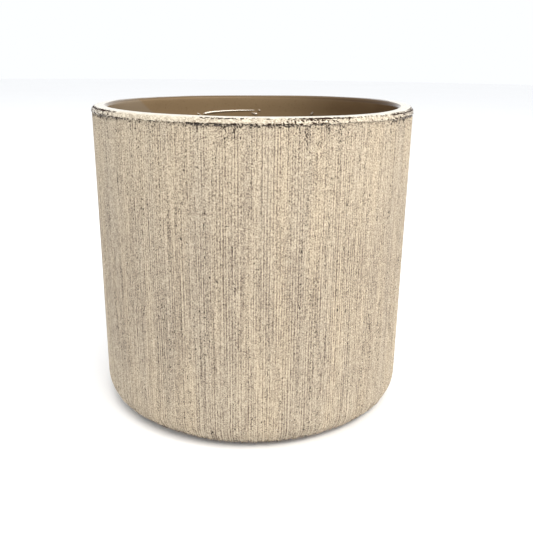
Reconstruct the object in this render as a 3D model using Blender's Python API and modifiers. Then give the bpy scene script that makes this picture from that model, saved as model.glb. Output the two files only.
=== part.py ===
"""Glazed earthenware plant pot cover, modelled as the layers a potter builds up.

A turned clay body carries a dark underglaze, a thick combed slip on the outside, a glossy
cream band over the lip and a brown glaze inside. Four thin pads sit under the foot ring.
Units are metres, +Z is up, and the pot stands on z = 0 with its axis on the Z axis.
"""

import math

import bmesh
import bpy

MM = 0.001

# Overall sizes
HEIGHT = 180.0 * MM
LIP_RADIUS = 95.0 * MM
LIP_INNER_RADIUS = 85.6 * MM
FLOOR_HEIGHT = 10.3 * MM

# Lip
LIP_OUTER_ROUND = 2.2 * MM
LIP_INNER_ROUND = 2.0 * MM
LIP_BAND = 3.1 * MM
BROWN_START_ANGLE = math.radians(25.0)

# Outside wall and rounded base
WALL_RADIUS = 94.6 * MM
BASE_ROUND = 16.0 * MM
BASE_ROUND_ANGLE = math.radians(60.0)
FOOT_RIM = 1.2 * MM

# Inside corner between wall and floor
INNER_ROUND = 12.0 * MM

# Coat thicknesses, and the gap that keeps neighbouring solids apart
SLIP = 0.9 * MM
UNDERGLAZE = 0.5 * MM
GLAZE = 0.5 * MM
GAP = 0.3 * MM
DARK_LINE = 0.4 * MM

# Foot ring and its pads
PAD_THICKNESS = 1.0 * MM
PAD_RADIUS = 5.0 * MM
PAD_EDGE = 0.15 * MM
PAD_COUNT = 4
PAD_SIDES = 24
FOOT_INNER_RADIUS = 72.0 * MM
FOOT_EDGE = 0.5 * MM
UNDERSIDE_RECESS = 1.5 * MM

# Facets
TURN_STEPS = 64
BASE_STEPS = 5
INNER_STEPS = 4
LIP_STEPS = 3
MERGE_DISTANCE = 0.00001

# Places worked out from the sizes above
FOOT_PLANE = PAD_THICKNESS + GAP
BASE_CENTRE_R = WALL_RADIUS - BASE_ROUND
BASE_CENTRE_Z = FOOT_PLANE + FOOT_RIM + BASE_ROUND * math.sin(BASE_ROUND_ANGLE)
INNER_CENTRE_R = LIP_INNER_RADIUS - INNER_ROUND
INNER_CENTRE_Z = FLOOR_HEIGHT + INNER_ROUND
LIP_OUTER_CENTRE = (LIP_RADIUS - LIP_OUTER_ROUND, HEIGHT - LIP_OUTER_ROUND)
LIP_INNER_CENTRE = (LIP_INNER_RADIUS + LIP_INNER_ROUND, HEIGHT - LIP_INNER_ROUND)
BAND_BOTTOM = HEIGHT - LIP_BAND

# How deep each layer lies under the finished outside, and under the finished inside
UNDERGLAZE_DEPTH = SLIP + GAP
CLAY_OUTER_DEPTH = UNDERGLAZE_DEPTH + UNDERGLAZE + GAP
CLAY_INNER_DEPTH = GLAZE + GAP

COLOURS = {
    "clay": ((0.62, 0.47, 0.34), 0.85),
    "dark": ((0.10, 0.065, 0.045), 0.45),
    "slip": ((0.68, 0.60, 0.47), 0.70),
    "lip": ((0.86, 0.82, 0.72), 0.18),
    "brown": ((0.30, 0.22, 0.13), 0.12),
    "felt": ((0.30, 0.25, 0.20), 0.95),
}


def arc(centre, radius, start, end, steps):
    """Points of an arc in the (r, z) plane. Angles run from +r (0) towards +z."""
    points = []
    for i in range(steps + 1):
        angle = start + (end - start) * i / steps
        points.append((centre[0] + radius * math.cos(angle), centre[1] + radius * math.sin(angle)))
    return points


def base_arc(depth, end=BASE_ROUND_ANGLE):
    """The rounded base at a depth under the outside, from the wall down to its end."""
    return arc((BASE_CENTRE_R, BASE_CENTRE_Z), BASE_ROUND - depth, 0.0, -end, BASE_STEPS)


def inner_arc(depth):
    """The corner between inside wall and floor, from the floor up to the wall."""
    centre = (INNER_CENTRE_R, INNER_CENTRE_Z)
    return arc(centre, INNER_ROUND + depth, -math.pi / 2, 0.0, INNER_STEPS)


def lip_outer_arc(depth):
    """The lip's outer corner, from the crest round to the outside face."""
    return arc(LIP_OUTER_CENTRE, LIP_OUTER_ROUND - depth, math.pi / 2, 0.0, LIP_STEPS)


def lip_inner_arc(depth, start, end):
    """The lip's inner corner. Angles are counted from the crest towards the inside."""
    radius = LIP_INNER_ROUND - depth
    return arc(LIP_INNER_CENTRE, radius, math.pi / 2 + start, math.pi / 2 + end, LIP_STEPS)


def material(name):
    colour, roughness = COLOURS[name]
    made = bpy.data.materials.new(name)
    made.use_nodes = True
    shader = made.node_tree.nodes["Principled BSDF"]
    shader.inputs["Base Color"].default_value = (*colour, 1.0)
    shader.inputs["Roughness"].default_value = roughness
    shader.inputs["Metallic"].default_value = 0.0
    return made


def turned(name, points, closed, finish, collection):
    """Turn an (r, z) outline about the Z axis. Outlines run down their outer side."""
    mesh = bpy.data.meshes.new(name)
    outline = bmesh.new()
    verts = [outline.verts.new((r, 0.0, z)) for r, z in points]
    for first, second in zip(verts, verts[1:]):
        outline.edges.new((first, second))
    if closed:
        outline.edges.new((verts[-1], verts[0]))
    outline.to_mesh(mesh)
    outline.free()
    mesh.materials.append(finish)
    part = bpy.data.objects.new(name, mesh)
    collection.objects.link(part)

    screw = part.modifiers.new("turn", "SCREW")
    screw.axis = "Z"
    screw.angle = 2.0 * math.pi
    screw.steps = TURN_STEPS
    screw.render_steps = TURN_STEPS
    screw.use_merge_vertices = True
    screw.merge_threshold = MERGE_DISTANCE
    screw.use_smooth_shade = True
    return part


def clay_body(collection):
    """Fired clay: wall, lip, floor and foot ring, open at the top."""
    depth = CLAY_OUTER_DEPTH
    wall_r = WALL_RADIUS - depth
    lip_r = LIP_RADIUS - GLAZE - GAP
    foot_r = BASE_CENTRE_R + (BASE_ROUND - depth) * math.cos(BASE_ROUND_ANGLE) - GAP
    recess_z = FOOT_PLANE + UNDERSIDE_RECESS

    points = [(0.0, FLOOR_HEIGHT - CLAY_INNER_DEPTH)]
    points += inner_arc(CLAY_INNER_DEPTH)
    points += reversed(lip_inner_arc(CLAY_INNER_DEPTH, 0.0, math.pi / 2))
    points += lip_outer_arc(CLAY_INNER_DEPTH)
    points += [(lip_r, BAND_BOTTOM), (wall_r, BAND_BOTTOM)]
    points += base_arc(depth)
    points += [(foot_r, FOOT_PLANE + FOOT_RIM), (foot_r, FOOT_PLANE + FOOT_EDGE)]
    points += [(foot_r - FOOT_EDGE, FOOT_PLANE), (FOOT_INNER_RADIUS, FOOT_PLANE)]
    points += [(FOOT_INNER_RADIUS - UNDERSIDE_RECESS, recess_z), (0.0, recess_z)]
    return turned("clay_body", points, False, material("clay"), collection)


def dark_underglaze(collection):
    """Dark coat under the slip. It comes out to the surface in a line under the lip band
    and again along the foot rim."""
    outer = UNDERGLAZE_DEPTH
    inner = outer + UNDERGLAZE
    top = BAND_BOTTOM - GAP
    line_r = LIP_RADIUS - GLAZE - GAP
    past_slip = BASE_ROUND_ANGLE + math.radians(1.2)
    rim_round = BASE_ROUND - 0.1 * MM
    neck = (BASE_CENTRE_R + (BASE_ROUND - outer) * math.cos(past_slip),
            BASE_CENTRE_Z - (BASE_ROUND - outer) * math.sin(past_slip))
    rim = (BASE_CENTRE_R + rim_round * math.cos(past_slip),
           BASE_CENTRE_Z - rim_round * math.sin(past_slip))
    back_r = BASE_CENTRE_R + (BASE_ROUND - inner) * math.cos(past_slip) - 0.1 * MM

    points = [(WALL_RADIUS - inner, top), (line_r, top), (line_r, top - DARK_LINE)]
    points += [(WALL_RADIUS - outer, top - DARK_LINE)]
    points += base_arc(outer)
    points += [neck, rim, (rim[0], FOOT_PLANE + GAP), (back_r, FOOT_PLANE + GAP)]
    points += reversed(base_arc(inner))
    return turned("dark_underglaze", points, True, material("dark"), collection)


def combed_slip(collection):
    """Thick cream slip over the outside wall and the rounded base."""
    top = BAND_BOTTOM - GAP - DARK_LINE - GAP
    points = [(WALL_RADIUS, top)]
    points += base_arc(0.0)
    points += reversed(base_arc(SLIP))
    points += [(WALL_RADIUS - SLIP, top)]
    return turned("combed_slip", points, True, material("slip"), collection)


def lip_glaze(collection):
    """Glossy cream band over the lip, from the outside face to just past the crest."""
    points = list(reversed(lip_inner_arc(0.0, 0.0, BROWN_START_ANGLE)))
    points += lip_outer_arc(0.0)
    points += [(LIP_RADIUS, BAND_BOTTOM), (LIP_RADIUS - GLAZE, BAND_BOTTOM)]
    points += reversed(lip_outer_arc(GLAZE))
    points += lip_inner_arc(GLAZE, 0.0, BROWN_START_ANGLE)
    return turned("lip_glaze", points, True, material("lip"), collection)


def inner_glaze(collection):
    """Glossy brown lining, from the lip's inner corner down the wall and over the floor."""
    start = BROWN_START_ANGLE + GAP / (LIP_INNER_ROUND - GLAZE)
    points = [(0.0, FLOOR_HEIGHT)]
    points += inner_arc(0.0)
    points += reversed(lip_inner_arc(0.0, start, math.pi / 2))
    points += lip_inner_arc(GLAZE, start, math.pi / 2)
    points += reversed(inner_arc(GLAZE))
    points += [(0.0, FLOOR_HEIGHT - GLAZE)]
    return turned("inner_glaze", points, False, material("brown"), collection)


def felt_pads(collection):
    """Thin round pads under the foot ring, evenly spaced."""
    finish = material("felt")
    foot_outer = BASE_CENTRE_R + (BASE_ROUND - CLAY_OUTER_DEPTH) * math.cos(BASE_ROUND_ANGLE)
    ring_r = (FOOT_INNER_RADIUS + foot_outer) / 2
    for i in range(PAD_COUNT):
        angle = 2.0 * math.pi * (i + 0.5) / PAD_COUNT
        place = (ring_r * math.cos(angle), ring_r * math.sin(angle), PAD_THICKNESS / 2)
        bpy.ops.mesh.primitive_cylinder_add(
            vertices=PAD_SIDES, radius=PAD_RADIUS, depth=PAD_THICKNESS, location=place)
        pad = bpy.context.object
        pad.name = "felt_pad_%d" % (i + 1)
        pad.data.name = pad.name
        pad.data.materials.append(finish)
        edge = pad.modifiers.new("edge", "BEVEL")
        edge.width = PAD_EDGE
        edge.segments = 1
        edge.limit_method = "ANGLE"
        for owner in list(pad.users_collection):
            owner.objects.unlink(pad)
        collection.objects.link(pad)


def main():
    for old in list(bpy.data.objects):
        bpy.data.objects.remove(old, do_unlink=True)
    pot = bpy.data.collections.new("plant_pot_cover")
    bpy.context.scene.collection.children.link(pot)

    clay_body(pot)
    dark_underglaze(pot)
    combed_slip(pot)
    lip_glaze(pot)
    inner_glaze(pot)
    felt_pads(pot)


main()
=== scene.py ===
import math

import bpy
import numpy as np
from mathutils import Matrix, Vector


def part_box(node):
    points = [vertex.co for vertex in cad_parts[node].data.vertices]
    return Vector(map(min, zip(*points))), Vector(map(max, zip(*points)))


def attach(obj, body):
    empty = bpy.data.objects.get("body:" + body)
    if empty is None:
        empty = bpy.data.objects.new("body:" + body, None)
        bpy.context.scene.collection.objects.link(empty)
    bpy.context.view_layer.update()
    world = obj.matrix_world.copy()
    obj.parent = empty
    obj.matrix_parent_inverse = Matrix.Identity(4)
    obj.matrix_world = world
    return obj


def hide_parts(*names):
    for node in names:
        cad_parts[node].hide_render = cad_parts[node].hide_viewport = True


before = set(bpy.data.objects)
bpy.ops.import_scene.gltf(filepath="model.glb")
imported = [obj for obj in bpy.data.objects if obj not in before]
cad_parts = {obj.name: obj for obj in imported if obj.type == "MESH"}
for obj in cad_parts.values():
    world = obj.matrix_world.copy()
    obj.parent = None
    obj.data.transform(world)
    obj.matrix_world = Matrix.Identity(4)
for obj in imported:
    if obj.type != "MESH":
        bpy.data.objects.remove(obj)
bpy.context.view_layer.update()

print("plant pot cover: packed model loaded")

# Sizes of the pot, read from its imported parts, in metres
lipLow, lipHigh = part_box("lip_glaze")
slipLow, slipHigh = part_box("combed_slip")
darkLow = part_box("dark_underglaze")[0]
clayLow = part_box("clay_body")[0]
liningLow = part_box("inner_glaze")[0]

glazeThickness = 0.0005
darkThickness = 0.0005
coatGap = 0.0003  # between one coat and the next
pot = {
    "crest": lipHigh[2],
    "lipRadius": lipHigh[0],
    "bandBottom": lipLow[2],
    "wallRadius": slipHigh[0],
    "slipBottom": slipLow[2],
    "rimBottom": darkLow[2],
    "footPlane": clayLow[2],
    "floor": liningLow[2] + glazeThickness,
    "lipInner": 0.0856,
    "outerRound": 0.0022,
    "innerRound": 0.0020,
    "brownStart": math.radians(4),  # where the brown starts, down the inner round from the crest
    "baseRound": 0.016,
    "baseAngle": math.radians(60),
    "insideRound": 0.012,
    "slipThickness": 0.0009,
}
pot["bendRadius"] = pot["wallRadius"] - pot["baseRound"]
pot["bendHeight"] = pot["slipBottom"] + pot["baseRound"] * math.sin(pot["baseAngle"])
tau = 2 * math.pi
quarter = math.pi / 2

# Centres of the rounded corners, as (r, z)
rounds = {
    "outer": (pot["lipRadius"] - pot["outerRound"], pot["crest"] - pot["outerRound"]),
    "inner": (pot["lipInner"] + pot["innerRound"], pot["crest"] - pot["innerRound"]),
    "corner": (pot["lipInner"] - pot["insideRound"], pot["floor"] + pot["insideRound"]),
    "bend": (pot["bendRadius"], pot["bendHeight"]),
}


class Wire:
    # One socket of a node tree. Arithmetic on it adds Math nodes.
    def __init__(self, bench, socket):
        self.bench = bench
        self.socket = socket

    def calc(self, operation, *others):  # this value is the node's first
        inputs = dict(enumerate((self, *others)))
        return self.bench.add("ShaderNodeMath", {"operation": operation}, inputs)

    def __add__(self, other):
        return self.calc("ADD", other)

    def __sub__(self, other):
        return self.calc("SUBTRACT", other)

    def __rsub__(self, other):
        return self.calc("MULTIPLY_ADD", -1.0, other)

    def __mul__(self, other):
        return self.calc("MULTIPLY", other)

    def __truediv__(self, other):
        return self.calc("DIVIDE", other)

    def __rtruediv__(self, other):
        return self.calc("POWER", -1.0) * other

    __radd__ = __add__
    __rmul__ = __mul__

    def clip(self):
        return self.bench.add("ShaderNodeClamp", {}, {0: self})

    def step(self, low, high):  # 0 below low, 1 above high, soft in between
        settings = {"interpolation_type": "SMOOTHSTEP"}
        return self.bench.add("ShaderNodeMapRange", settings, {0: self, 1: low, 2: high})

    def traced(self, points):  # height of a drawn curve above this value
        return self.bench.add("ShaderNodeFloatCurve", {"points": points}, {1: self})

    def also(self, output):  # another output of the same node
        return Wire(self.bench, self.socket.node.outputs[output])


class Bench:
    # A node tree that nodes are laid out on
    def __init__(self, tree):
        self.tree = tree

    def add(self, kind, settings=None, sockets=None, output=0):
        node = self.tree.nodes.new(kind)
        for name, value in (settings or {}).items():
            if name == "points":
                drawn = node.mapping.curves[0].points
                for spot in value[1:-1]:
                    drawn.new(*spot)
                for point, spot in zip(drawn, value):
                    point.location = spot
                node.mapping.update()
            else:
                setattr(node, name, value)
        for key, value in (sockets or {}).items():
            if isinstance(value, Wire):
                self.tree.links.new(value.socket, node.inputs[key])
            else:
                node.inputs[key].default_value = value
        return Wire(self, node.outputs[output]) if node.outputs else None

    def scaled(self, place, width, length=None):  # divides x and y by width, z by length
        steps = (1 / width, 1 / width, 1 / (length or width))
        return self.add("ShaderNodeVectorMath", {"operation": "MULTIPLY"}, {0: place, 1: steps})

    def cloud(self, place, width, length=None, detail=2.0, roughness=0.5):
        sockets = {"Vector": self.scaled(place, width, length), "Scale": 1.0,
                   "Detail": detail, "Roughness": roughness}
        return self.add("ShaderNodeTexNoise", {}, sockets)

    def grit(self, place, width, length=None):  # one random value for each small cell
        sockets = {"Vector": self.scaled(place, width, length), "Scale": 1.0}
        cells = self.add("ShaderNodeTexVoronoi", {}, sockets)
        return self.add("ShaderNodeSeparateColor", {}, {0: cells.also("Color")})

    def blend(self, share, first, second):  # colours
        return self.add("ShaderNodeMix", {"data_type": "RGBA"}, {0: share, 6: first, 7: second}, 2)

    def bump(self, height, strength, depth):
        sockets = {"Strength": strength, "Distance": depth, "Height": height}
        return self.add("ShaderNodeBump", {}, sockets)

    def objectPlace(self):
        return self.add("ShaderNodeTexCoord", output="Object")

    def split(self, place):  # gives x, and y and z as its other outputs
        return self.add("ShaderNodeSeparateXYZ", {}, {0: place})

    def reach(self, spot):  # distance from the pot's axis
        return (spot * spot + spot.also("Y") * spot.also("Y")).calc("SQRT")

    def straightened(self, spot, radius):  # slides a place out to one radius, so lines run on over a bend
        stretch = radius / self.reach(spot)
        return self.add("ShaderNodeCombineXYZ", {}, {
            0: spot * stretch, 1: spot.also("Y") * stretch, 2: spot.also("Z")})

    def around(self, spot):  # share of a full turn: 0.25 in front, 0.5 right, 0.75 behind
        return spot.also("Y").calc("ARCTAN2", spot) / tau + 0.5


def paintFinish(name, fixed, paint):
    finish = bpy.data.materials.new(name)
    finish.use_nodes = True
    tree = finish.node_tree
    shader = tree.nodes["Principled BSDF"]
    for key, value in fixed.items():
        shader.inputs[key].default_value = value
    for key, wire in paint(Bench(tree)).items():
        tree.links.new(wire.socket, shader.inputs[key])
    return finish


def rgb(red, green, blue):  # colour from screen values of 0 to 255
    def linear(value):
        value /= 255
        return value / 12.92 if value <= 0.04045 else ((value + 0.055) / 1.055) ** 2.4
    return (linear(red), linear(green), linear(blue), 1.0)


# Comb ridges: the same rule cuts the coat's surface and colours it
combLines = {"ridges": 352, "fineRidges": 436, "driftWidth": 0.014, "driftLength": 0.4, "drift": 3.0,
             "wearWidth": 0.0045, "wearLength": 0.05}


def combRelief(bench, turn, place):  # 0 in the grooves, 1 on the ridges
    drift = bench.cloud(place, combLines["driftWidth"], combLines["driftLength"], 2.0) * combLines["drift"]
    broad = ((turn * combLines["ridges"] + drift) * tau).calc("SINE")
    fine = ((turn * combLines["fineRidges"] - drift) * tau).calc("SINE")
    # Worn patches: there the fine ridges fade and the broad ridges show more
    wearAndPaintedLight = bench.cloud(place, combLines["wearWidth"], combLines["wearLength"], 1.0).step(0.3, 0.7)
    return broad * (0.1 + wearAndPaintedLight * 0.15) + fine * (0.38 - wearAndPaintedLight * 0.22) + 0.5


# How much dark shows round the lip, from its crest down: 0.25 of a turn is the front, 0.5 the right side
darkShows = {
    "upper": [(0.0, 0.8), (0.087, 0.85), (0.118, 0.5), (0.135, 0.05), (0.168, 0.1), (0.187, 0.2),
              (0.208, 0.6), (0.229, 0.8), (0.248, 0.6), (0.268, 0.35), (0.288, 0.75), (0.304, 1.0),
              (0.323, 1.0),
              (0.343, 0.35), (0.367, 0.4), (0.391, 0.7), (0.413, 0.9), (0.48, 0.8), (0.6, 0.7), (0.7, 0.2),
              (0.8, 0.6), (0.9, 0.2), (1.0, 0.5)],
    "middle": [(0.0, 0.9), (0.087, 0.9), (0.11, 0.2), (0.13, 0.02), (0.2, 0.05), (0.25, 0.05),
               (0.268, 0.3), (0.288, 0.75), (0.304, 0.9), (0.323, 0.7), (0.343, 0.4), (0.367, 0.4),
               (0.391, 0.8),
               (0.413, 0.9), (0.48, 0.8), (0.62, 0.5), (0.75, 0.1), (0.88, 0.4), (1.0, 0.5)],
    "lower": [(0.0, 0.8), (0.087, 0.9), (0.118, 0.85), (0.146, 0.5), (0.168, 0.45), (0.187, 0.5),
              (0.208, 1.0), (0.229, 0.9), (0.248, 0.9), (0.268, 0.9), (0.288, 0.85), (0.304, 0.7),
              (0.323, 0.6),
              (0.343, 0.45), (0.367, 0.45), (0.391, 0.8), (0.413, 0.9), (0.48, 0.8), (0.6, 0.6), (0.7, 0.3),
              (0.8, 0.8), (0.9, 0.4), (1.0, 0.5)],
}
# How far the brown runs over the crest, for the same turns, and the painted light on the brown: 1 lit on
# the left and back, 0 in painted shade on the right
brownCreeps = [(0.0, 0.0), (0.50, 0.0), (0.54, 0.35), (0.58, 1.0), (0.93, 1.0), (0.965, 0.35), (1.0, 0.0)]
paintedLightRound = [(0.0, 0.9), (0.25, 0.6), (0.5, 0.0), (0.585, 0.1), (0.66, 0.5), (0.74, 0.9), (1.0, 0.9)]


# Finishes
slipPaint = {
    "pale": rgb(207, 192, 167), "cool": rgb(202, 189, 167), "shade": rgb(84, 67, 58),
    "dark": rgb(42, 30, 24),
    "lineWidth": 0.00040, "lineLength": 0.035, "dashLength": 0.004, "grainWidth": 0.00036,
    "patchWidth": 0.012, "patchLength": 0.10, "bareFrom": 0.71, "bumpDepth": 0.00025,
}


def paintSlip(bench):
    spot = bench.split(bench.objectPlace())
    place = bench.straightened(spot, pot["wallRadius"])
    height = spot.also("Z") / pot["crest"]
    upper = height.step(0.5, 1.0)
    top = height.step(0.90, 0.975)
    around = bench.around(spot)

    comb = combRelief(bench, around, place)
    line = bench.grit(place, slipPaint["lineWidth"], slipPaint["lineLength"])
    dash = bench.grit(place, slipPaint["lineWidth"], slipPaint["dashLength"])
    grain = bench.grit(place, slipPaint["grainWidth"])
    patch = bench.cloud(place, slipPaint["patchWidth"], slipPaint["patchLength"], 1.0)
    lines = (comb - 0.5) * 0.44 + (line - 0.5) * 0.36 + (dash - 0.5) * (0.30 - upper * 0.15)
    speckle = (grain - 0.5) * (0.80 + upper * 0.35)
    # Painted light: the coat is painted brighter rising up the upper half and along the bottom tenth of the
    # wall; the patches are random tone
    wearAndPaintedLight = upper * 0.11 - height.step(0.1, 0.35) * 0.06 + (patch - 0.5) * 0.15
    tone = lines + speckle + wearAndPaintedLight + 0.64
    pale = bench.blend(patch.step(0.3, 0.7), slipPaint["cool"], slipPaint["pale"])
    colour = bench.blend(tone.clip(), slipPaint["shade"], pale)

    pits = bench.cloud(place, 0.00070, 0.0010, 1.0)
    worn = bench.cloud(place, 0.0022, 0.040, 2.0).step(0.48, 0.64)
    edge = height.step(0.968, 0.978) * around.traced(darkShows["lower"])
    near = around.traced(darkShows["upper"]) * top
    foot = 1.0 - height.step(0.022, 0.034)
    amount = worn * 0.10 + near * 0.07 + edge * 0.10 + foot * 0.12 - comb * 0.03 + (grain - 0.5) * 0.12
    bare = (pits + amount - slipPaint["bareFrom"]).step(0.0, 0.03)  # the dark coat shows
    colour = bench.blend(bare, colour, slipPaint["dark"])

    bumpHeight = line * 0.15 + dash * 0.15 + grain * 0.3 - bare * 0.8
    bump = bench.bump(bumpHeight, 1.0, slipPaint["bumpDepth"])
    return {"Base Color": colour, "Normal": bump, "Roughness": 0.65 + grain * 0.15}


crumbPaint = {"low": rgb(206, 192, 170), "high": rgb(236, 228, 210), "grainWidth": 0.0004}


def paintCrumbs(bench):
    place = bench.objectPlace()
    grain = bench.cloud(place, crumbPaint["grainWidth"], detail=1.0)
    colour = bench.blend(grain.step(0.35, 0.65), crumbPaint["low"], crumbPaint["high"])
    bump = bench.bump(grain, 0.6, 0.0001)
    return {"Base Color": colour, "Normal": bump, "Roughness": 0.6 + grain * 0.2}


# The crept brown on the crest is painted darker on the shaded right and lighter on the lit left and back
lipPaint = {
    "creamLow": rgb(198, 189, 170), "creamHigh": rgb(220, 212, 196), "gritLow": rgb(140, 124, 106),
    "gritHigh": rgb(222, 212, 190), "brown": rgb(88, 68, 47), "thinBrown": rgb(122, 102, 77),
    "speck": rgb(44, 26, 16), "speckFrom": 0.80, "outerStart": 0.0926, "outerEnd": 0.0931,
    "brownEdge": 87.2, "brownRun": 4.6, "brownRagged": 2.4,  # distances of the brown's edge, in millimetres
}


def paintLip(bench):
    place = bench.objectPlace()
    spot = bench.split(place)
    around = bench.around(spot)
    below = (pot["crest"] - spot.also("Z")) * 1000.0  # millimetres under the crest
    clump = bench.cloud(place, 0.0012, detail=2.0, roughness=0.6)
    fleck = bench.grit(place, 0.00075)
    reach = bench.reach(spot)
    outer = reach.step(lipPaint["outerStart"], lipPaint["outerEnd"])  # 1 on the lip's outer face
    upperRow = (1.0 - below.step(0.7, 1.1)) * around.traced(darkShows["upper"])
    middleRow = below.step(0.2, 0.7) * (1.0 - below.step(2.2, 3.0)) * around.traced(darkShows["middle"])
    lowerRow = below.step(2.2, 2.9) * around.traced(darkShows["lower"])
    amount = (upperRow * 0.40 + middleRow * 0.30 + lowerRow * 0.42) * outer
    spots = (clump * 0.45 + fleck * 0.50 + amount - lipPaint["speckFrom"]).step(0.0, 0.02)
    tint = bench.cloud(place, 0.004, detail=2.0)
    cream = bench.blend(tint.step(0.3, 0.7), lipPaint["creamLow"], lipPaint["creamHigh"])
    gritty = bench.blend(bench.grit(place, 0.0007), lipPaint["gritLow"], lipPaint["gritHigh"])
    colour = bench.blend(below.step(0.1, 1.0) * outer * 0.9, cream, gritty)
    run = around.traced(brownCreeps) * lipPaint["brownRun"]
    edge = lipPaint["brownEdge"] + run + (clump - 0.5) * lipPaint["brownRagged"]
    crept = (edge - reach * 1000.0).step(0.0, 0.4)  # the lining's brown runs over the crest
    # The crept brown gets the same painted light and shade round the pot
    brown = bench.blend(around.traced(paintedLightRound), lipPaint["brown"], lipPaint["thinBrown"])
    colour = bench.blend(crept, colour, brown)
    colour = bench.blend(spots, colour, lipPaint["speck"])
    waves = bench.cloud(place, 0.003, detail=1.0)
    bumpHeight = waves + (clump + fleck * 0.3) * (0.1 + outer * 0.6) - spots * 0.5
    bump = bench.bump(bumpHeight, 0.6, 0.00022)
    return {"Base Color": colour, "Normal": bump, "Roughness": 0.13 + spots * 0.6,
            "Coat Weight": (1.0 - spots) * (1.0 - crept) * 0.25}


# Browns of the lining: the darker brown is used where painted shade falls on the right, the lighter brown
# where painted light falls on the left and back
liningPaint = {
    "thick": rgb(100, 79, 56), "thin": rgb(136, 115, 87), "freckle": rgb(84, 62, 40),
    "paintedReflection": rgb(142, 132, 118), "darkTopEdge": rgb(58, 42, 30), "ringHeight": 0.0035,
}


def paintLining(bench):
    place = bench.objectPlace()
    spot = bench.split(place)
    wide = bench.reach(spot).step(0.02, 0.075)
    # Painted light round the inside, faded to an even middle tone towards the middle of the floor
    thin = bench.around(spot).traced(paintedLightRound) * wide + (1.0 - wide) * 0.5
    tint = bench.cloud(place, 0.03, 0.012, 3.0)
    freckle = bench.cloud(place, 0.0012, detail=2.0).step(0.6, 0.72)
    colour = bench.blend((thin + (tint - 0.5) * 0.5).clip(), liningPaint["thick"], liningPaint["thin"])
    colour = bench.blend(freckle * 0.25, colour, liningPaint["freckle"])
    under = (pot["crest"] - spot.also("Z")) * 1000.0  # millimetres under the crest
    # Painted reflection: a paler grey band on the left of the inside wall, towards the back, within about
    # 24 mm of the crest
    paintedReflection = (bench.around(spot) + under * 0.0025).step(0.918, 0.926) * (1.0 - under.step(9.0, 24.0))
    colour = bench.blend(paintedReflection * 0.45, colour, liningPaint["paintedReflection"])
    darkTopEdge = (1.0 - (under - tint * 0.5).step(0.3, 1.0)) * 0.45  # darker in the top millimetre of the brown, just under the crest
    colour = bench.blend(darkTopEdge, colour, liningPaint["darkTopEdge"])
    rings = bench.cloud(place, 0.09, liningPaint["ringHeight"], 1.0)
    waves = bench.cloud(place, 0.006, detail=1.0)
    bump = bench.bump(waves + rings * 0.5, 0.3, 0.0003)
    return {"Base Color": colour, "Normal": bump, "Roughness": 0.07 + freckle * 0.1}


darkPaint = {"low": rgb(26, 18, 14), "high": rgb(66, 50, 38), "smear": rgb(188, 173, 150)}


def paintDark(bench):
    place = bench.objectPlace()
    grain = bench.cloud(place, 0.0007, detail=2.0)
    smear = bench.cloud(place, 0.0009, detail=2.0, roughness=0.65)
    spot = bench.split(place)
    shows = bench.around(spot).traced(darkShows["lower"])
    high = (spot.also("Z") / pot["crest"]).step(0.9, 0.95)
    colour = bench.blend(grain.step(0.35, 0.75), darkPaint["low"], darkPaint["high"])
    creamy = (smear + 0.16 - shows * 0.22).step(0.48, 0.53) * high  # slip smeared over the line
    colour = bench.blend(creamy, colour, darkPaint["smear"])
    bump = bench.bump(grain + creamy * 0.5, 0.8, 0.0002)
    return {"Base Color": colour, "Normal": bump, "Roughness": 0.42 + grain * 0.2}


clayPaint = {"warm": rgb(182, 148, 116), "pale": rgb(206, 176, 142), "grog": rgb(122, 88, 64),
             "chalk": rgb(226, 206, 178), "ringTurn": 4200.0}


def paintClay(bench):
    place = bench.objectPlace()
    spot = bench.split(place)
    wobble = bench.cloud(place, 0.02, detail=1.0) * 0.002
    radius = bench.reach(spot) + wobble
    rings = (radius * clayPaint["ringTurn"]).calc("SINE") * 0.5 + 0.5
    grog = bench.cloud(place, 0.0009, detail=2.0)
    dust = bench.cloud(place, 0.018, detail=3.0)
    colour = bench.blend(dust.step(0.3, 0.7), clayPaint["warm"], clayPaint["pale"])
    colour = bench.blend(grog.step(0.62, 0.7) * 0.8, colour, clayPaint["grog"])
    colour = bench.blend(grog.calc("LESS_THAN", 0.36) * 0.4, colour, clayPaint["chalk"])
    bump = bench.bump(grog + rings * 0.25, 0.7, 0.0002)
    return {"Base Color": colour, "Normal": bump, "Roughness": 0.8 + grog * 0.1}


feltPaint = {"low": rgb(70, 58, 48), "high": rgb(116, 98, 82), "fleck": rgb(150, 132, 112)}


def paintFelt(bench):
    place = bench.objectPlace()
    fuzz = bench.cloud(place, 0.0003, detail=3.0)
    fleck = bench.cloud(place, 0.0011, detail=1.0)
    colour = bench.blend(fuzz.step(0.3, 0.7), feltPaint["low"], feltPaint["high"])
    colour = bench.blend(fleck.step(0.6, 0.7) * 0.5, colour, feltPaint["fleck"])
    bump = bench.bump(fuzz, 1.0, 0.00025)
    return {"Base Color": colour, "Normal": bump, "Roughness": 0.9 + fuzz * 0.1}


finishes = {
    "slip": paintFinish("combed slip", {"Specular IOR Level": 0.25}, paintSlip),
    "crumbs": paintFinish("slip crumbs", {"Specular IOR Level": 0.3}, paintCrumbs),
    "lip": paintFinish("cream lip glaze", {"Coat Roughness": 0.05, "Specular IOR Level": 0.1}, paintLip),
    "lining": paintFinish("brown lining glaze", {"Specular IOR Level": 0.08}, paintLining),
    "runs": paintFinish("thick glaze run", {"Specular IOR Level": 1.0, "Coat Weight": 1.0}, paintLining),
    "dark": paintFinish("dark underglaze", {}, paintDark),
    "clay": paintFinish("bare fired clay", {"Specular IOR Level": 0.25}, paintClay),
    "felt": paintFinish("brown felt", {"Sheen Weight": 0.3}, paintFelt),
}
print("finishes mixed:", len(finishes))


def keep(mesh, name):
    mesh.name = name
    piece = bpy.data.objects.new(name, mesh)
    bpy.context.scene.collection.objects.link(piece)
    return piece


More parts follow.
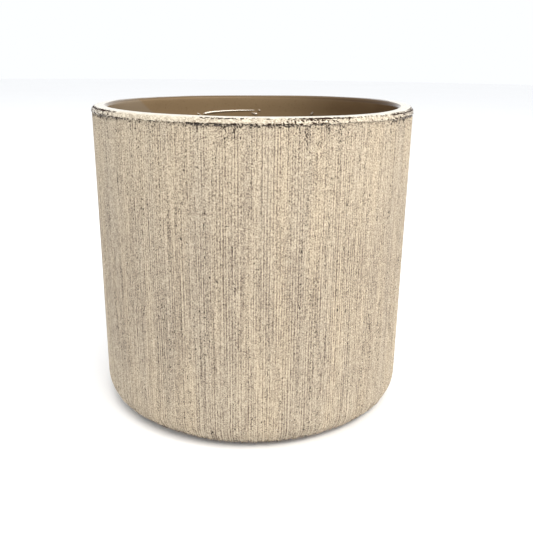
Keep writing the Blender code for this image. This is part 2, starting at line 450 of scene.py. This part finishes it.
def grown(name, tree, sizes, start=None):
    # Runs a node tree once on a start mesh, and keeps the result as a plain mesh
    seedMesh = start.data if start else bpy.data.meshes.new(name + "Seed")
    seed = bpy.data.objects.new(name + "Seed", seedMesh)
    bpy.context.scene.collection.objects.link(seed)
    grow = seed.modifiers.new("grow", "NODES")
    grow.node_group = tree
    for item in tree.interface.items_tree:
        if item.item_type == "SOCKET" and item.in_out == "INPUT" and item.name in sizes:
            grow[item.identifier] = sizes[item.name]
    depsgraph = bpy.context.evaluated_depsgraph_get()
    mesh = bpy.data.meshes.new_from_object(
        seed.evaluated_get(depsgraph), preserve_all_data_layers=True, depsgraph=depsgraph)
    bpy.data.objects.remove(seed)
    return keep(mesh, name)


def newTree(name, sizes):
    # An empty geometry tree with one named input for each size
    tree = bpy.data.node_groups.new(name, "GeometryNodeTree")
    tree.interface.new_socket("Geometry", in_out="INPUT", socket_type="NodeSocketGeometry")
    tree.interface.new_socket("Geometry", in_out="OUTPUT", socket_type="NodeSocketGeometry")
    for label, value in sizes.items():
        kind = "NodeSocketInt" if isinstance(value, int) else "NodeSocketFloat"
        tree.interface.new_socket(label, in_out="INPUT", socket_type=kind)
    bench = Bench(tree)
    given = bench.add("NodeGroupInput")
    return bench, given, {label: given.also(label) for label in sizes}


def finishTree(bench, geometry, finish):
    solid = bench.add("GeometryNodeRealizeInstances", {}, {0: geometry})
    painted = bench.add("GeometryNodeSetMaterial", {}, {0: solid, "Material": finish})
    bench.add("NodeGroupOutput", {}, {0: painted})


# The combed coat: one folded grid whose rows run down the outside and back up behind
coat = {
    "wallRows": 32, "bendRows": 12, "backBendRows": 4, "backWallRows": 4,
    "firstRow": 0.0003, "secondRow": 0.0010, "strips": 3,
    "sizes": {
        "Columns": 1728,
        "Wall Radius": pot["wallRadius"], "Base Round": pot["baseRound"],
        "Base Angle": pot["baseAngle"], "Bend Height": pot["bendHeight"],
        "Top": pot["bandBottom"] + 0.00035, "Thickness": pot["slipThickness"],
        "Groove Depth": 0.00030, "Ragged Top": 0.0046, "Dark Gap": 0.0014, "Ragged Base": 0.24,
    },
    "topGrain": 0.0010, "baseGrain": 0.0011, "topDip": 0.0002, "baseDip": 0.0003, "bendFall": 0.02,
    "mapMargin": 0.005, "mapWidth": 0.99, "mapFront": 0.94, "mapBack": 0.05,
}


def buildCoat():
    bench, _, size = newTree("combed coat rule", coat["sizes"])
    wallRows, bendRows = coat["wallRows"], coat["bendRows"]
    turnBack = wallRows + bendRows
    backWall = turnBack + 1 + coat["backBendRows"]
    allRows = backWall + coat["backWallRows"] + 1
    grid = bench.add("GeometryNodeMeshGrid", {}, {
        "Size X": 1.0, "Size Y": 1.0, "Vertices X": size["Columns"] + 1.0, "Vertices Y": allRows + 1})
    spot = bench.split(bench.add("GeometryNodeInputPosition"))
    turn = spot + 0.5
    row = (spot.also("Y") + 0.5) * allRows

    def share(first, count):
        return ((row - first) / count).clip()

    wallLength = size["Top"] - size["Bend Height"]
    rest = wallLength - (coat["firstRow"] + coat["secondRow"])
    edgeRows = share(0, 1) * coat["firstRow"] + share(1, 1) * coat["secondRow"]
    downOutside = edgeRows + share(2, wallRows - 2) * rest
    down = downOutside - share(backWall, coat["backWallRows"]) * wallLength
    bent = share(wallRows, bendRows) - share(turnBack + 1, coat["backBendRows"])
    behind = share(turnBack, 1) - share(allRows - 1, 1)
    outside = 1.0 - behind

    angle = turn * tau - math.pi
    east, north = angle.calc("COSINE"), angle.calc("SINE")
    ring = bench.add("ShaderNodeCombineXYZ", {}, {
        0: east * size["Wall Radius"], 1: north * size["Wall Radius"], 2: 0.0})
    shows = turn.traced(darkShows["lower"])
    topNoise = bench.cloud(ring, coat["topGrain"], detail=3.0, roughness=0.7)
    topEdge = size["Top"] - (topNoise - 0.5) * size["Ragged Top"] - shows * size["Dark Gap"]
    baseNoise = bench.cloud(ring, coat["baseGrain"], detail=3.0, roughness=0.65)
    baseEdge = size["Base Angle"] - (baseNoise - 0.30) * size["Ragged Base"]

    slope = bent * baseEdge
    level = topEdge - down
    nominal = bench.add("ShaderNodeCombineXYZ", {}, {
        0: east * size["Wall Radius"], 1: north * size["Wall Radius"],
        2: level - bent * coat["bendFall"]})
    relief = combRelief(bench, turn, nominal)
    edgeDip = (1.0 - share(0, 2)) * coat["topDip"] + share(turnBack - 1, 1) * coat["baseDip"]
    lift = (relief - 1.0) * size["Groove Depth"] - edgeDip
    radius = size["Base Round"] + lift * outside - behind * size["Thickness"]
    reach = radius * slope.calc("COSINE") + (size["Wall Radius"] - size["Base Round"])
    sink = level - radius * slope.calc("SINE")
    place = bench.add("ShaderNodeCombineXYZ", {}, {0: east * reach, 1: north * reach, 2: sink})

    # Bake map: the coat cut into equal strips, laid above each other, with its back last in each
    strips = coat["strips"]
    faceTurn = bench.add("GeometryNodeFieldOnDomain", {"domain": "FACE"}, {0: turn})
    strip = (faceTurn * strips).calc("FLOOR")
    bendLength = size["Base Round"] * size["Base Angle"]
    path = (downOutside + share(wallRows, bendRows) * bendLength) / (wallLength + bendLength)
    stripRow = path * coat["mapFront"] + share(turnBack, allRows - turnBack) * coat["mapBack"]
    bakeMap = bench.add("ShaderNodeCombineXYZ", {}, {
        0: (turn * strips - strip) * coat["mapWidth"] + coat["mapMargin"],
        1: (strip + coat["mapMargin"] + stripRow) / strips, 2: 0.0})

    kept = grid
    for name, kind, domain, value in [
        ("outside", "FLOAT", "POINT", outside), ("OFBake", "FLOAT2", "CORNER", bakeMap),
    ]:
        kept = bench.add("GeometryNodeStoreNamedAttribute", {"data_type": kind, "domain": domain},
                         {"Geometry": kept, "Name": name, "Value": value})
    moved = bench.add("GeometryNodeSetPosition", {}, {"Geometry": kept, "Position": place})
    welded = bench.add("GeometryNodeMergeByDistance", {}, {"Geometry": moved, "Distance": 0.000001})
    smooth = bench.add("GeometryNodeSetShadeSmooth", {}, {"Geometry": welded})
    finishTree(bench, smooth, finishes["slip"])
    return grown("combedCoat", bench.tree, coat["sizes"])


def faceOutwards(piece):
    # A closed mesh with a negative volume is inside out
    mesh = piece.data
    mesh.calc_loop_triangles()
    points = np.empty(len(mesh.vertices) * 3)
    mesh.vertices.foreach_get("co", points)
    corners = np.empty(len(mesh.loop_triangles) * 3, dtype=np.int32)
    mesh.loop_triangles.foreach_get("vertices", corners)
    a, b, c = points.reshape(-1, 3)[corners.reshape(-1, 3)].transpose(1, 0, 2)
    if np.einsum("ij,ij->i", a, np.cross(b, c)).sum() < 0:
        mesh.flip_normals()
    return piece


combedCoat = faceOutwards(buildCoat())
print("combed coat:", len(combedCoat.data.polygons), "faces")


# Crumbs of slip that the comb dragged up
crumbs = {"Density": 62000.0, "Size": 0.00030, "Smallest": 0.35, "Seed": 11}


def buildCrumbs():
    bench, given, size = newTree("crumb rule", crumbs)
    outside = bench.add("GeometryNodeInputNamedAttribute", {"data_type": "FLOAT"}, {"Name": "outside"})
    place = bench.add("GeometryNodeInputPosition")
    height = bench.split(place).also("Z")
    patch = bench.cloud(place, 0.014, 0.03).step(0.4, 0.7)
    lower = 1.25 - (height / pot["crest"]).clip() * 0.7  # more crumbs low on the wall
    amount = size["Density"] * outside * (0.35 + patch) * lower
    points = bench.add("GeometryNodeDistributePointsOnFaces", {"distribute_method": "RANDOM"},
                       {"Mesh": given, "Density": amount, "Seed": size["Seed"]})
    ball = bench.add("GeometryNodeMeshIcoSphere", {}, {"Radius": 1.0, "Subdivisions": 1})
    spread = bench.add("FunctionNodeRandomValue", {"data_type": "FLOAT"},
                       {2: size["Smallest"], 3: 1.0, "Seed": size["Seed"]}, output=1)
    turnBy = bench.add("FunctionNodeRandomValue", {"data_type": "FLOAT_VECTOR"},
                       {0: (0, 0, 0), 1: (tau, tau, tau), "Seed": size["Seed"]})
    scattered = bench.add("GeometryNodeInstanceOnPoints", {}, {
        "Points": points, "Instance": ball, "Rotation": turnBy, "Scale": spread * spread * size["Size"]})
    solid = bench.add("GeometryNodeRealizeInstances", {}, {0: scattered})
    smooth = bench.add("GeometryNodeSetShadeSmooth", {}, {0: solid})
    finishTree(bench, smooth, finishes["crumbs"])
    return grown("slipCrumbs", bench.tree, crumbs, combedCoat)


slipCrumbs = buildCrumbs()
print("slip crumbs:", len(slipCrumbs.data.polygons), "faces")


def arc(centre, radius, start, end, steps):
    angles = [start + (end - start) * i / steps for i in range(steps + 1)]
    return [(centre[0] + radius * math.cos(a), centre[1] + radius * math.sin(a)) for a in angles]


def turned(name, outline, closed, columns, finish):
    # Turns an (r, z) outline round the pot's axis and keeps the result as a plain mesh
    mesh = bpy.data.meshes.new(name + "Outline")
    last = len(outline)
    edges = [(i, i + 1) for i in range(last - 1)] + ([(last - 1, 0)] if closed else [])
    mesh.from_pydata([(r, 0, z) for r, z in outline], edges, [])
    seed = bpy.data.objects.new(name + "Outline", mesh)
    bpy.context.scene.collection.objects.link(seed)
    spin = seed.modifiers.new("turn", "SCREW")
    spin.axis = "Z"
    spin.angle = tau
    spin.steps = spin.render_steps = columns
    spin.use_merge_vertices = True
    spin.merge_threshold = 0.000001
    depsgraph = bpy.context.evaluated_depsgraph_get()
    made = bpy.data.meshes.new_from_object(seed.evaluated_get(depsgraph), depsgraph=depsgraph)
    bpy.data.objects.remove(seed)
    made.materials.clear()
    made.materials.append(finish)
    made.polygons.foreach_set("use_smooth", [True] * len(made.polygons))
    return faceOutwards(keep(made, name))


def reshape(piece, rule):
    # Moves a turned piece's points by rule(angle, r, z), which gives new r and z
    points = np.empty(len(piece.data.vertices) * 3)
    piece.data.vertices.foreach_get("co", points)
    x, y, z = points.reshape(-1, 3).T
    angle, r = np.arctan2(y, x), np.hypot(x, y)
    newR, newZ = rule(angle, r, z)
    moved = np.stack([newR * np.cos(angle), newR * np.sin(angle), newZ], axis=1)
    piece.data.vertices.foreach_set("co", moved.ravel())
    piece.data.update()


def ripple(angle, seed, lowest, highest, fall=1.0):
    # Uneven wave round the pot that meets itself, about -1 to 1
    dice = np.random.default_rng(seed)
    total = np.zeros_like(angle)
    power = 0.0
    for k in np.unique(np.geomspace(lowest, highest, 42).astype(int)):
        size = (lowest / k) ** fall
        total += size * np.sin(k * angle + dice.uniform(0, tau))
        power += size * size
    return total / math.sqrt(power * 2)


# The rim stands a little proud at the right of the back
proudRim = {"angle": 25, "spread": 80, "rise": 0.0014, "depth": 0.0034, "fade": 0.0030}


def crestLift(angle, z):
    turnOff = np.abs(np.degrees(angle) - proudRim["angle"]) / proudRim["spread"] * quarter
    near = np.clip((z - pot["crest"] + proudRim["depth"]) / proudRim["fade"], 0, 1)
    return near * proudRim["rise"] * np.cos(np.clip(turnOff, 0, quarter)) ** 2


# The lip: a glossy band from its ragged lower edge over the crest to the brown
lip = {"columns": 1080, "ragged": 0.00055, "raggedStart": 0.0019, "raggedFade": 0.0012, "soften": 0.0006,
       "shoulderDepth": 0.0024, "crownRadius": 0.0905, "crownWidth": 0.0045, "crownRise": 0.00008}


def buildLip():
    outer, inner = rounds["outer"], rounds["inner"]
    face, back = pot["lipRadius"], pot["lipRadius"] - glazeThickness
    bottom = pot["bandBottom"]
    outline = arc(inner, pot["innerRound"], quarter + pot["brownStart"], quarter, 4)
    outline += [(inner[0] + (outer[0] - inner[0]) * k / 4, pot["crest"]) for k in (1, 2, 3)]
    outline += arc(outer, pot["outerRound"], quarter, 0, 8)
    outline += [(face, bottom + 0.0005), (face - 0.0001, bottom + 0.00015), (face - 0.0003, bottom)]
    outline += [(back, bottom + 0.0001), (back, bottom + 0.0006)]
    outline += arc(outer, pot["outerRound"] - glazeThickness, 0, quarter, 4)
    outline += arc(inner, pot["innerRound"] - glazeThickness, quarter, quarter + pot["brownStart"], 3)
    band = turned("lipBand", outline, True, lip["columns"], finishes["lip"])

    def rule(angle, r, z):
        low = np.clip((pot["crest"] - lip["raggedStart"] - z) / lip["raggedFade"], 0, 1)
        wave = ripple(angle, 3, 30, 700, 0.4) * 0.8 + ripple(angle, 4, 3, 24) * 0.4
        newZ = z + low * lip["ragged"] * wave
        crown = np.clip(1 - np.abs(r - lip["crownRadius"]) / lip["crownWidth"], 0, 1)
        newZ = newZ + crown * lip["crownRise"] + ripple(angle, 6, 3, 40) * 0.00005
        shoulder = np.clip((r - lip["crownRadius"]) / lip["crownWidth"], 0, 1) ** 2
        shoulder = shoulder * np.clip(1 - (pot["crest"] - z) / lip["shoulderDepth"], 0, 1)
        newR = r + ripple(angle, 5, 4, 60) * 0.00004 - shoulder * lip["soften"]
        newZ = np.minimum(newZ, pot["crest"] + 0.0003) - shoulder * lip["soften"]
        return newR, newZ + crestLift(angle, z)

    reshape(band, rule)
    return band


lipBand = buildLip()


# The dark coat shows as a line under the lip and as the rim of the foot
dark = {"columns": 900, "lineRadius": 0.0943, "rimInset": 0.00004, "lineRagged": 0.00010,
        "rimRagged": 0.00022, "neckTurn": math.radians(1.5)}


def buildDark():
    deep = pot["slipThickness"] + coatGap
    centre = rounds["bend"]
    bandZ = pot["bandBottom"]
    neck = pot["baseAngle"] + dark["neckTurn"]
    rimR = pot["bendRadius"] + pot["baseRound"] * math.cos(pot["baseAngle"]) - dark["rimInset"]
    wall = pot["wallRadius"]
    outline = [(wall - deep - darkThickness, bandZ + 0.0001), (dark["lineRadius"] - 0.0001, bandZ + 0.0001)]
    outline += [(dark["lineRadius"], bandZ - 0.0003), (dark["lineRadius"], bandZ - 0.0008)]
    outline += [(wall - deep, bandZ - 0.0013)]
    outline += arc(centre, pot["baseRound"] - deep, 0, -neck, 12)
    outline += [(rimR, pot["slipBottom"] + 0.0001), (rimR - 0.0001, pot["slipBottom"] - 0.0004)]
    outline += [(rimR - 0.0005, pot["slipBottom"] - 0.0008), (rimR - 0.0009, pot["rimBottom"])]
    outline += [(rimR - 0.0014, pot["rimBottom"])]
    outline += arc(centre, pot["baseRound"] - deep - darkThickness, -neck - 0.04, 0, 8)
    ring = turned("darkCoat", outline, True, dark["columns"], finishes["dark"])

    def rule(angle, r, z):
        nearLip = np.clip((z - bandZ + 0.0016) / 0.0004, 0, 1)
        nearFoot = np.clip((pot["slipBottom"] + 0.0008 - z) / 0.0004, 0, 1)
        bump = ripple(angle, 8, 40, 800, 0.3)
        return r + (nearLip * dark["lineRagged"] + nearFoot * dark["rimRagged"]) * bump, z

    reshape(ring, rule)
    return ring


darkCoat = buildDark()


# The lining: brown glaze over the inside wall and the floor
lining = {"columns": 720, "ringTurn": 520, "ringDepth": 0.00010, "fineTurn": 1370, "fineDepth": 0.00003,
          "waver": 0.00012}


def buildLining():
    inner, corner = rounds["inner"], rounds["corner"]
    wallTop, wallLow = inner[1], corner[1]
    outline = [(0, pot["floor"])]
    outline += [(corner[0] * k / 12, pot["floor"]) for k in range(1, 12)]
    outline += arc(corner, pot["insideRound"], -quarter, 0, 10)
    outline += [(pot["lipInner"], wallLow + (wallTop - wallLow) * k / 60) for k in range(1, 60)]
    outline += arc(inner, pot["innerRound"], 2 * quarter, quarter + pot["brownStart"], 6)
    outline += arc(inner, pot["innerRound"] - glazeThickness, quarter + pot["brownStart"], 2 * quarter, 3)
    outline += arc(corner, pot["insideRound"] + glazeThickness, 0, -quarter, 6)
    outline += [(0, pot["floor"] - glazeThickness)]
    shell = turned("brownLining", outline, False, lining["columns"], finishes["lining"])

    def rule(angle, r, z):
        onWall = np.clip((z - 0.02) / 0.02, 0, 1) * np.clip((pot["crest"] - 0.003 - z) / 0.003, 0, 1)
        onWall = onWall * (r < pot["lipInner"] + 0.0001)
        rings = np.sin(z * lining["ringTurn"] + np.sin(angle) * 1.3) * lining["ringDepth"]
        rings = rings + np.sin(z * lining["fineTurn"] + 2 * np.cos(angle)) * lining["fineDepth"]
        return r + onWall * (rings + ripple(angle, 12, 3, 30) * lining["waver"]), z + crestLift(angle, z)

    reshape(shell, rule)
    return shell


brownLining = buildLining()


# Thick runs of glaze on the lining, under the lip: (angle in degrees, depth under the crest, height)
runs = {
    "streak": [(115.0, 0.0124, 0.0002), (114.0, 0.0121, 0.0015), (111.5, 0.0114, 0.0018),
               (104.0, 0.0106, 0.0014), (96.0, 0.0102, 0.0012), (90.5, 0.0101, 0.0009),
               (89.5, 0.0101, 0.0002)],
    "hook": [(118.0, 0.0118, 0.0002), (117.0, 0.0124, 0.0012), (115.8, 0.0134, 0.0009),
             (115.0, 0.0138, 0.0002)],
    "dropHigh": [(87.7, 0.0100, 0.0002), (87.3, 0.0101, 0.0014), (86.7, 0.0101, 0.0014),
                 (86.3, 0.0101, 0.0002)],
    "dropLow": [(91.0, 0.0118, 0.0002), (90.2, 0.0121, 0.0012), (89.2, 0.0125, 0.0018),
                (88.2, 0.0126, 0.0016), (87.8, 0.0125, 0.0002)],
    "slash": [(59.9, 0.0100, 0.0002), (59.9, 0.0105, 0.0019), (61.0, 0.0117, 0.0020),
              (61.5, 0.0119, 0.0002)],
}

# A run cut across, as (out from the wall, up) in run heights: its long upper slope leans back to the wall
runProfile = [(-0.25, 0.55), (0.05, 0.50), (0.19, 0.25), (0.33, 0.0), (0.46, -0.25), (0.42, -0.40),
              (0.20, -0.50), (-0.25, -0.52)]
runSunk = 0.0001  # how far a run's middle line lies behind the lining's face


def buildRuns():
    points, faces = [], []
    for run in runs.values():
        knots = np.array(run)
        spots = np.linspace(0, len(run) - 1, len(run) * 8)
        degrees, depth, size = (np.interp(spots, range(len(run)), knots[:, k]) for k in range(3))
        first = len(points)
        for turnBy, low, high in zip(np.radians(degrees), depth, size):
            for out, up in runProfile:
                r = pot["lipInner"] + runSunk - out * high
                points.append((r * math.cos(turnBy), r * math.sin(turnBy), pot["crest"] - low + up * high))
        count = len(runProfile)
        for i in range(len(spots) - 1):
            for j in range(count):
                a, b = first + i * count + j, first + i * count + (j + 1) % count
                faces.append((a, b, b + count, a + count))
        faces.append([first + j for j in range(count)][::-1])
        faces.append([first + (len(spots) - 1) * count + j for j in range(count)])
    mesh = bpy.data.meshes.new("glazeRuns")
    mesh.from_pydata(points, [], faces)
    mesh.materials.append(finishes["runs"])
    mesh.polygons.foreach_set("use_smooth", [True] * len(mesh.polygons))
    return faceOutwards(keep(mesh, "glazeRuns"))


glazeRuns = buildRuns()


# The clay: all that shows of it is the foot ring and the recess under the pot
clay = {"columns": 360, "footInner": 0.072, "footEdge": 0.0005, "recess": 0.0015, "throwTurn": 1500,
        "throwDepth": 0.00012}


def buildClay():
    depth = pot["slipThickness"] + coatGap + darkThickness + coatGap
    behind = glazeThickness + coatGap
    outer, inner, corner, base = (rounds[name] for name in ("outer", "inner", "corner", "bend"))
    footR = base[0] + (pot["baseRound"] - depth) * math.cos(pot["baseAngle"]) - coatGap
    footZ, footIn, edge = pot["footPlane"], clay["footInner"], clay["footEdge"]
    recessZ = footZ + clay["recess"]
    outline = [(0, pot["floor"] - behind)]
    outline += arc(corner, pot["insideRound"] + behind, -quarter, 0, 6)
    outline += arc(inner, pot["innerRound"] - behind, 2 * quarter, quarter, 4)
    outline += arc(outer, pot["outerRound"] - behind, quarter, 0, 4)
    outline += [(pot["lipRadius"] - behind, pot["bandBottom"] + 0.0004)]
    outline += [(pot["wallRadius"] - depth, pot["bandBottom"] + 0.0004)]
    outline += arc(base, pot["baseRound"] - depth, 0, -pot["baseAngle"], 10)
    outline += [(footR, footZ + 0.0012)]
    outline += arc((footR - edge, footZ + edge), edge, 0, -quarter, 4)
    outline += [(footR - edge - (footR - edge - footIn) * k / 5, footZ) for k in range(1, 5)]
    outline += [(footIn, footZ), (footIn - 0.0004, footZ + 0.0002)]
    outline += [(footIn - 0.0013, recessZ - 0.0002), (footIn - 0.0018, recessZ)]
    outline += [((footIn - 0.0018) * (1 - k / 30), recessZ) for k in range(1, 30)]
    outline += [(0, recessZ)]
    body = turned("clayBody", outline, False, clay["columns"], finishes["clay"])

    def rule(angle, r, z):
        under = (z < recessZ + 0.0001) * (z > footZ + 0.0004) * (r < footIn)
        throwing = np.sin(r * clay["throwTurn"] + angle) * np.clip(1 - r / 0.075, 0, 1)
        return r, z + under * throwing * clay["throwDepth"]

    reshape(body, rule)
    return body


clayBody = buildClay()


# Felt pads: soft-edged discs with a frayed rim
felt = {"columns": 72, "flat": 0.92, "shoulder": 0.985, "frayedFrom": 0.9, "fray": 0.012, "seed": 20}


def buildPad(number, node):
    low, high = (Vector(corner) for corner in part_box(node))
    middle = (low + high) / 2
    radius, half = (high.x - low.x) / 2, (high.z - low.z) / 2
    shoulder = radius * felt["shoulder"]
    outline = [(0, half)] + [(radius * felt["flat"] * k / 6, half) for k in range(1, 7)]
    outline += [(shoulder, half * 0.75), (radius, half * 0.2)]
    outline += [(radius, -half * 0.2), (shoulder, -half * 0.75)]
    outline += [(radius * felt["flat"] * k / 6, -half) for k in range(6, 0, -1)] + [(0, -half)]
    disc = turned("feltPad%d" % number, outline, False, felt["columns"], finishes["felt"])

    def rule(angle, r, z):
        frayed = ripple(angle, felt["seed"] + number, 3, 24) * (r > radius * felt["frayedFrom"])
        return r * (1 + felt["fray"] * frayed), z

    reshape(disc, rule)
    disc.data.transform(Matrix.Translation(middle))
    return disc


feltPads = {"felt_pad_%d" % n: buildPad(n, "felt_pad_%d" % n) for n in range(1, 5)}
print("lip, dark coat, lining, clay and pads turned")


# Everything rides on the one body
shown = [
    (combedCoat, "cream_slip", "combed_slip"), (slipCrumbs, "cream_slip", None),
    (lipBand, "cream_glaze", "lip_glaze"), (darkCoat, "dark_coat", "dark_underglaze"),
    (brownLining, "brown_glaze", "inner_glaze"), (glazeRuns, "brown_glaze", None),
    (clayBody, "fired_clay", "clay_body"),
]
shown += [(pad, "felt", node) for node, pad in feltPads.items()]
for piece, slot, node in shown:
    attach(piece, "root")
    if node:
        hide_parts(node)


# Floor, light and camera
studio = {"floorRadius": 6.0, "floorLow": rgb(248, 248, 248), "floorHigh": rgb(251, 251, 251),
          "air": (0.965, 0.98, 1.0, 1), "airStrength": 1.02, "aimShare": 0.6}


def buildFloor():
    bpy.ops.mesh.primitive_circle_add(vertices=96, radius=studio["floorRadius"], fill_type="NGON")
    floor = bpy.context.object
    floor.name = "studioFloor"

    def paintFloor(bench):
        place = bench.objectPlace()
        mist = bench.cloud(place, 0.4, detail=2.0)
        return {"Base Color": bench.blend(mist, studio["floorLow"], studio["floorHigh"])}

    paleFloor = paintFinish("pale floor", {"Roughness": 0.9, "Specular IOR Level": 0.1}, paintFloor)
    floor.data.materials.append(paleFloor)


def softLight(name, place, aim, size, power, colour=(1, 1, 1)):
    lamp = bpy.data.lights.new(name, "AREA")
    lamp.shape = "RECTANGLE"
    lamp.size, lamp.size_y = size
    lamp.energy = power
    lamp.color = colour
    holder = bpy.data.objects.new(name, lamp)
    bpy.context.scene.collection.objects.link(holder)
    holder.location = place
    holder.rotation_euler = (Vector(aim) - Vector(place)).to_track_quat("-Z", "Y").to_euler()


buildFloor()
middle = (0, 0, pot["crest"] * studio["aimShare"])
softLight("keyRight", (0.50, -0.72, 1.20), middle, (1.1, 0.4), 13, (1.0, 0.95, 0.88))
softLight("sideRight", (1.5, -0.5, 0.8), middle, (0.9, 0.9), 5, (1.0, 0.96, 0.90))
softLight("overhead", (-0.5, 0.1, 1.8), middle, (1.4, 1.4), 7)

world = bpy.data.worlds.new("studio")
world.use_nodes = True
world.node_tree.nodes["Background"].inputs["Color"].default_value = studio["air"]
world.node_tree.nodes["Background"].inputs["Strength"].default_value = studio["airStrength"]
bpy.context.scene.world = world
bpy.context.scene.view_settings.view_transform = "Standard"

camera = {"focal": 44.248, "sensor": 36.0, "back": 0.40643, "height": 0.20712,
          "pitch": 17.738, "turn": 1.289, "tilt": 0.667}
eye = bpy.data.objects.new("camera", bpy.data.cameras.new("camera"))
eye.data.lens = camera["focal"]
eye.data.sensor_width = camera["sensor"]
eye.data.clip_start = 0.01
bpy.context.scene.collection.objects.link(eye)
eye.matrix_world = (
    Matrix.Translation((0, -camera["back"], camera["height"]))
    @ Matrix.Rotation(math.radians(-camera["turn"]), 4, "Z")
    @ Matrix.Rotation(math.radians(90 - camera["pitch"]), 4, "X")
    @ Matrix.Rotation(math.radians(camera["tilt"]), 4, "Z")
)
bpy.context.scene.camera = eye

print("pieces on the pot:", len(shown))
